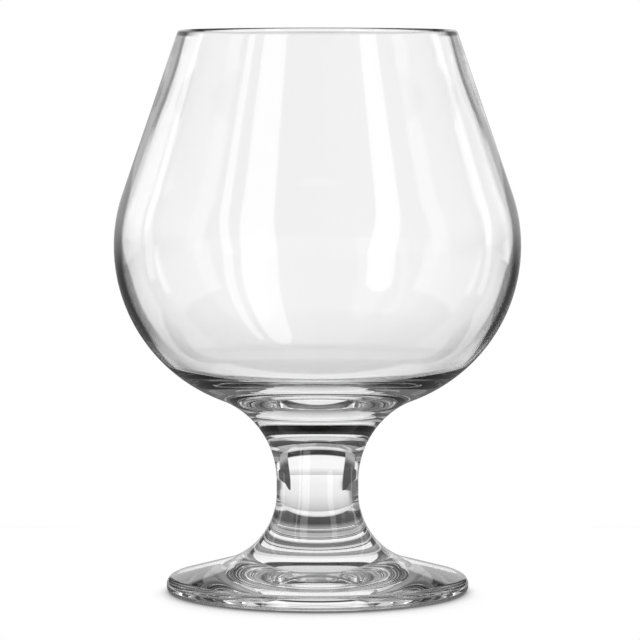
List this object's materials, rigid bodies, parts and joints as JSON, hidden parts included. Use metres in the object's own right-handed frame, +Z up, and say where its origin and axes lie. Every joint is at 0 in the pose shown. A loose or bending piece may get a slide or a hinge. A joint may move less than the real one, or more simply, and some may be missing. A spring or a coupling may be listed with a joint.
{
  "type": "brandy snifter",
  "caption": "Clear glass brandy snifter: a wide round bowl drawn in to a narrow mouth, on a short waisted stem and a flat round foot.",
  "frame": {"origin": "centre of the foot's resting ring, on the surface that the glass stands on", "axes": "+Z up along the axis of the glass, from the foot to the mouth; +X and +Y are any two square directions, because the glass is round"},
  "size_m": [0.0858, 0.0858, 0.1185],
  "materials": {
    "clear_glass": "clear soda-lime glass, fire-polished"
  },
  "bodies": {
    "root": {"bowl": "clear_glass", "stem": "clear_glass", "foot": "clear_glass"}
  },
  "joints": []
}
